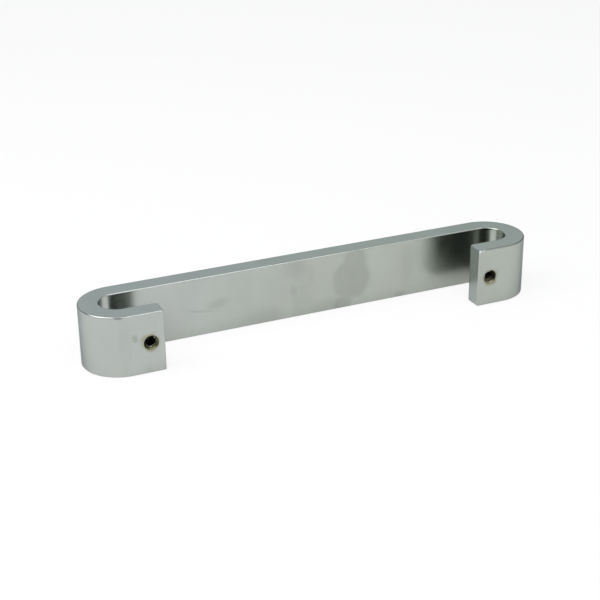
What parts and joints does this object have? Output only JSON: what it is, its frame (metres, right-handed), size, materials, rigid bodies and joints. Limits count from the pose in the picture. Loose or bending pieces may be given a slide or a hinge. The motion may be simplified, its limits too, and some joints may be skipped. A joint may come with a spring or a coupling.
{
  "type": "bridge pull handle",
  "caption": "Bridge pull handle of thick flat stock whose ends curl back in half-round hooks to short feet, each foot tapped for a screw from behind the door.",
  "frame": {"origin": "middle of the two-hole pattern, on the mounting plane, at half the stock's width", "axes": "+X along the bar, -Y out of the mounting faces towards the door, +Y towards the grip, +Z across the stock"},
  "size_m": [0.168, 0.027, 0.0216],
  "materials": {
    "satin_chrome": "satin chrome plating on die-cast zinc"
  },
  "bodies": {
    "root": {"handle": "satin_chrome"}
  },
  "joints": []
}
